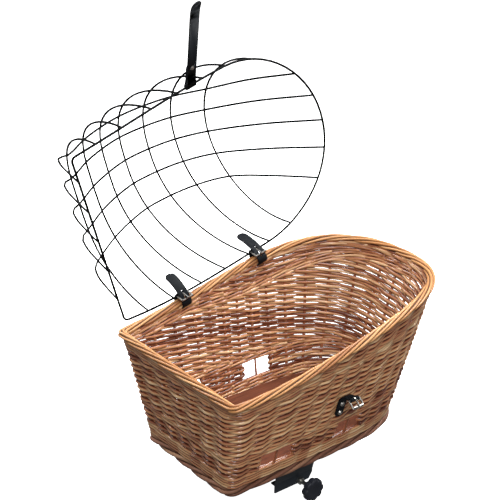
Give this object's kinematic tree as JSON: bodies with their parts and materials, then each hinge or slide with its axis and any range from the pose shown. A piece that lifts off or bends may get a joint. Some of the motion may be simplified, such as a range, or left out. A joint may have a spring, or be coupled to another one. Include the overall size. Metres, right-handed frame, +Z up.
{
  "type": "rear bicycle basket with wire lid",
  "caption": "Willow basket for a bicycle's rear carrier, with windows low in its sides, a hinged domed wire lid, leather straps and a screw clamp under its base.",
  "frame": {"origin": "middle of the clamp's seat on the carrier, on the channel's underside", "axes": "+Z up, +X to the basket's round raised back, +Y to the side with the lid's hinge"},
  "size_m": [0.6244, 0.6444, 0.8826],
  "materials": {
    "willow_weave": "satin, woven whole willow rods, boiled and varnished",
    "willow_rim": "satin, plaited border of willow rods",
    "willow_foot": "dull, twisted border of dark rods",
    "plywood": "stained, satin",
    "black_steel": "powder coated, satin",
    "black_wire": "plastic coated, satin",
    "black_plastic": "moulded, matte",
    "black_leather": "dyed, satin grain",
    "nickel": "nickel plated, bright"
  },
  "bodies": {
    "root": {"base_board": "plywood", "clamp_block": "plywood", "foot_border": "willow_foot", "lower_rib": "willow_weave", "window_rib": "willow_weave", "main_weave": "willow_weave", "back_rib": "willow_weave", "back_weave": "willow_weave", "window_weave_front": "willow_weave", "window_weave_back": "willow_weave", "window_weave_far": "willow_weave", "window_weave_near": "willow_weave", "window_stake_near_front": "willow_weave", "window_stake_near_back": "willow_weave", "window_stake_far_front": "willow_weave", "window_stake_far_back": "willow_weave", "rim_border": "willow_rim", "rack_bracket": "black_steel", "weld_nut": "nickel", "bracket_bolt_1": "black_steel", "bracket_bolt_2": "black_steel", "bracket_bolt_3": "black_steel", "bracket_bolt_4": "black_steel", "bracket_nut_1": "nickel", "bracket_nut_2": "nickel", "bracket_nut_3": "nickel", "bracket_nut_4": "nickel", "hinge_strap_front": "black_leather", "hinge_strap_back": "black_leather", "strap_buckle_front": "nickel", "strap_buckle_back": "nickel", "strap_prong_front": "nickel", "strap_prong_back": "nickel", "closure_tab": "black_leather", "tab_screw_lower": "nickel", "tab_screw_upper": "nickel"},
    "lid": {"lid_frame": "black_wire", "lid_hoop_1": "black_wire", "lid_hoop_2": "black_wire", "lid_hoop_3": "black_wire", "lid_hoop_4": "black_wire", "lid_hoop_5": "black_wire", "lid_hoop_6": "black_wire", "lid_hoop_7": "black_wire", "lid_wire_1": "black_wire", "lid_wire_2": "black_wire", "lid_wire_3": "black_wire", "lid_wire_4": "black_wire", "lid_wire_5": "black_wire"},
    "strap": {"closure_strap": "black_leather", "closure_rivet": "nickel"},
    "buckle": {"closure_buckle": "nickel"},
    "prong": {"closure_prong": "nickel"},
    "roller": {"closure_roller": "nickel"},
    "jaw": {"clamp_jaw": "black_steel"},
    "screw": {"clamp_screw": "nickel", "star_knob": "black_plastic"}
  },
  "joints": [
    {"name": "lid_hinge", "type": "hinge", "parent": "root", "child": "lid", "pos_m": [-0.055, 0.18205, 0.24673], "axis": [0.9751, 0.0414, 0.2179], "range_deg": [-28, 93.2]},
    {"name": "closure_strap_swing", "type": "hinge", "parent": "lid", "child": "strap", "pos_m": [-0.01608, 0.21103, 0.64044], "axis": [0.9579, 0.05, 0.2828], "range_deg": [-100, 15]},
    {"name": "buckle_swing", "type": "hinge", "parent": "root", "child": "buckle", "pos_m": [0.051, -0.18712, 0.15454], "axis": [1, 0, 0], "range_deg": [-70, 50]},
    {"name": "prong_swing", "type": "hinge", "parent": "buckle", "child": "prong", "pos_m": [0.051, -0.18712, 0.15454], "axis": [1, 0, 0], "range_deg": [-80, 0]},
    {"name": "roller_spin", "type": "hinge", "parent": "buckle", "child": "roller", "pos_m": [0.051, -0.1983, 0.14516], "axis": [1, 0, 0], "continuous": true},
    {"name": "jaw_travel", "type": "slide", "parent": "root", "child": "jaw", "axis": [0, 1, 0], "range_m": [-0.0075, 0.0175]},
    {"name": "screw_turn", "type": "hinge", "parent": "jaw", "child": "screw", "pos_m": [0.013, -0.1, -0.0485], "axis": [0, 1, 0], "range_deg": [-2161, 5041]}
  ],
  "couplings": [
    {"joint": "screw_turn", "follows": "jaw_travel", "rad_per_m": 5026.5}
  ]
}
